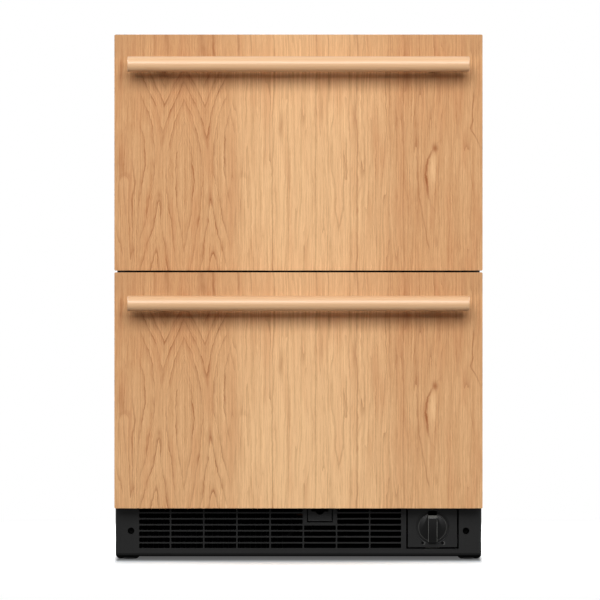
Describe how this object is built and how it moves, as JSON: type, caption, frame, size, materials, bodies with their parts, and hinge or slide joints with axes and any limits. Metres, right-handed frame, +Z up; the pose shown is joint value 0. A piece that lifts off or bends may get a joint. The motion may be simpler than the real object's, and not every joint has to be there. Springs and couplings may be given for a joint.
{
  "type": "undercounter drawer refrigerator",
  "caption": "Undercounter refrigerator with stacked pull-out drawers, wood fronts, round bar handles, a slotted black base grille and a temperature knob.",
  "frame": {"origin": "on the floor, under the middle of the unit's overall box", "axes": "front faces -Y, +X to the right seen from the front, +Z up"},
  "size_m": [0.606, 0.663, 0.867],
  "materials": {
    "black_steel": "satin black paint",
    "galvanised_steel": "galvanised sheet",
    "foam": "foamed polyurethane",
    "liner_plastic": "white thermoformed sheet",
    "black_plastic": "fine moulded texture",
    "screw_steel": "black oxide",
    "pale_plastic": "moulded",
    "compressor_black": "gloss black paint",
    "black_rubber": "matt",
    "coil_steel": "black paint",
    "motor_steel": "grey paint",
    "copper": "drawn tube",
    "aluminium": "mill finish",
    "slide_steel": "zinc plated",
    "ball_steel": "polished",
    "wood": "clear satin lacquer",
    "handle_wood": "clear satin lacquer",
    "post_steel": "turned",
    "gasket_vinyl": "matt",
    "bin_plastic": "translucent moulding",
    "leg_steel": "black"
  },
  "bodies": {
    "cabinet": {"cabinet_wrapper": "black_steel", "back_panel": "galvanised_steel", "machine_deck": "galvanised_steel", "mullion_rail": "black_steel", "insulation_foam": "foam", "upper_liner": "liner_plastic", "lower_liner": "liner_plastic", "base_pan": "black_steel", "rear_cover": "galvanised_steel", "base_grille": "black_plastic", "control_plate": "black_plastic", "service_tab": "black_plastic", "grille_screws": "screw_steel", "thermostat_body": "pale_plastic", "compressor": "compressor_black", "compressor_mounts": "black_rubber", "relay_cover": "black_plastic", "condenser_coil": "coil_steel", "fan_shroud": "black_plastic", "condenser_fan_motor": "motor_steel", "drain_pan": "black_plastic", "refrigerant_lines": "copper", "evaporator_coil": "aluminium", "evaporator_cover": "liner_plastic", "evaporator_fan_motor": "motor_steel", "counter_brackets": "slide_steel", "cord_gland": "black_rubber", "upper_outer_rails": "slide_steel", "lower_outer_rails": "slide_steel"},
    "upper_drawer": {"upper_wood_panel": "wood", "upper_handle_bar": "handle_wood", "upper_handle_posts": "post_steel", "upper_front_shell": "black_steel", "upper_front_liner": "liner_plastic", "upper_gasket": "gasket_vinyl", "upper_bin": "bin_plastic", "upper_bin_frame": "slide_steel", "upper_inner_rails": "slide_steel"},
    "lower_drawer": {"lower_wood_panel": "wood", "lower_handle_bar": "handle_wood", "lower_handle_posts": "post_steel", "lower_front_shell": "black_steel", "lower_front_liner": "liner_plastic", "lower_gasket": "gasket_vinyl", "lower_bin": "bin_plastic", "lower_bin_frame": "slide_steel", "lower_inner_rails": "slide_steel"},
    "upper_middle_slides": {"upper_middle_rails": "slide_steel"},
    "upper_outer_balls": {"upper_outer_cages": "ball_steel"},
    "upper_inner_balls": {"upper_inner_cages": "ball_steel"},
    "lower_middle_slides": {"lower_middle_rails": "slide_steel"},
    "lower_outer_balls": {"lower_outer_cages": "ball_steel"},
    "lower_inner_balls": {"lower_inner_cages": "ball_steel"},
    "knob": {"control_knob": "black_plastic"},
    "front_left_foot": {"front_left_leg": "leg_steel"},
    "front_right_foot": {"front_right_leg": "leg_steel"},
    "rear_left_foot": {"rear_left_leg": "leg_steel"},
    "rear_right_foot": {"rear_right_leg": "leg_steel"},
    "condenser_fan": {"condenser_fan_blade": "pale_plastic"},
    "evaporator_fan": {"evaporator_fan_blade": "pale_plastic"}
  },
  "joints": [
    {"name": "upper_drawer_slide", "type": "slide", "parent": "cabinet", "child": "upper_drawer", "axis": [0, -1, 0], "range_m": [0, 0.4]},
    {"name": "lower_drawer_slide", "type": "slide", "parent": "cabinet", "child": "lower_drawer", "axis": [0, -1, 0], "range_m": [0, 0.4]},
    {"name": "upper_outer_balls_travel", "type": "slide", "parent": "cabinet", "child": "upper_outer_balls", "axis": [0, -1, 0], "range_m": [0, 0.1]},
    {"name": "upper_middle_slides_travel", "type": "slide", "parent": "cabinet", "child": "upper_middle_slides", "axis": [0, -1, 0], "range_m": [0, 0.2]},
    {"name": "upper_inner_balls_travel", "type": "slide", "parent": "cabinet", "child": "upper_inner_balls", "axis": [0, -1, 0], "range_m": [0, 0.3]},
    {"name": "lower_outer_balls_travel", "type": "slide", "parent": "cabinet", "child": "lower_outer_balls", "axis": [0, -1, 0], "range_m": [0, 0.1]},
    {"name": "lower_middle_slides_travel", "type": "slide", "parent": "cabinet", "child": "lower_middle_slides", "axis": [0, -1, 0], "range_m": [0, 0.2]},
    {"name": "lower_inner_balls_travel", "type": "slide", "parent": "cabinet", "child": "lower_inner_balls", "axis": [0, -1, 0], "range_m": [0, 0.3]},
    {"name": "knob_turn", "type": "hinge", "parent": "cabinet", "child": "knob", "pos_m": [0.222, -0.2155, 0.0535], "axis": [0, -1, 0], "range_deg": [-148, 148]},
    {"name": "front_left_leg_height", "type": "slide", "parent": "cabinet", "child": "front_left_foot", "axis": [0, 0, -1], "range_m": [0, 0.025]},
    {"name": "front_right_leg_height", "type": "slide", "parent": "cabinet", "child": "front_right_foot", "axis": [0, 0, -1], "range_m": [0, 0.025]},
    {"name": "rear_left_leg_height", "type": "slide", "parent": "cabinet", "child": "rear_left_foot", "axis": [0, 0, -1], "range_m": [0, 0.025]},
    {"name": "rear_right_leg_height", "type": "slide", "parent": "cabinet", "child": "rear_right_foot", "axis": [0, 0, -1], "range_m": [0, 0.025]},
    {"name": "condenser_fan_spin", "type": "hinge", "parent": "cabinet", "child": "condenser_fan", "pos_m": [-0.14, 0.12, 0.1], "axis": [0, -1, 0], "continuous": true},
    {"name": "evaporator_fan_spin", "type": "hinge", "parent": "cabinet", "child": "evaporator_fan", "pos_m": [0, 0.238, 0.735], "axis": [0, -1, 0], "continuous": true}
  ],
  "couplings": [
    {"joint": "upper_outer_balls_travel", "follows": "upper_drawer_slide", "ratio": 0.25},
    {"joint": "upper_middle_slides_travel", "follows": "upper_drawer_slide", "ratio": 0.5},
    {"joint": "upper_inner_balls_travel", "follows": "upper_drawer_slide", "ratio": 0.75},
    {"joint": "lower_outer_balls_travel", "follows": "lower_drawer_slide", "ratio": 0.25},
    {"joint": "lower_middle_slides_travel", "follows": "lower_drawer_slide", "ratio": 0.5},
    {"joint": "lower_inner_balls_travel", "follows": "lower_drawer_slide", "ratio": 0.75}
  ]
}
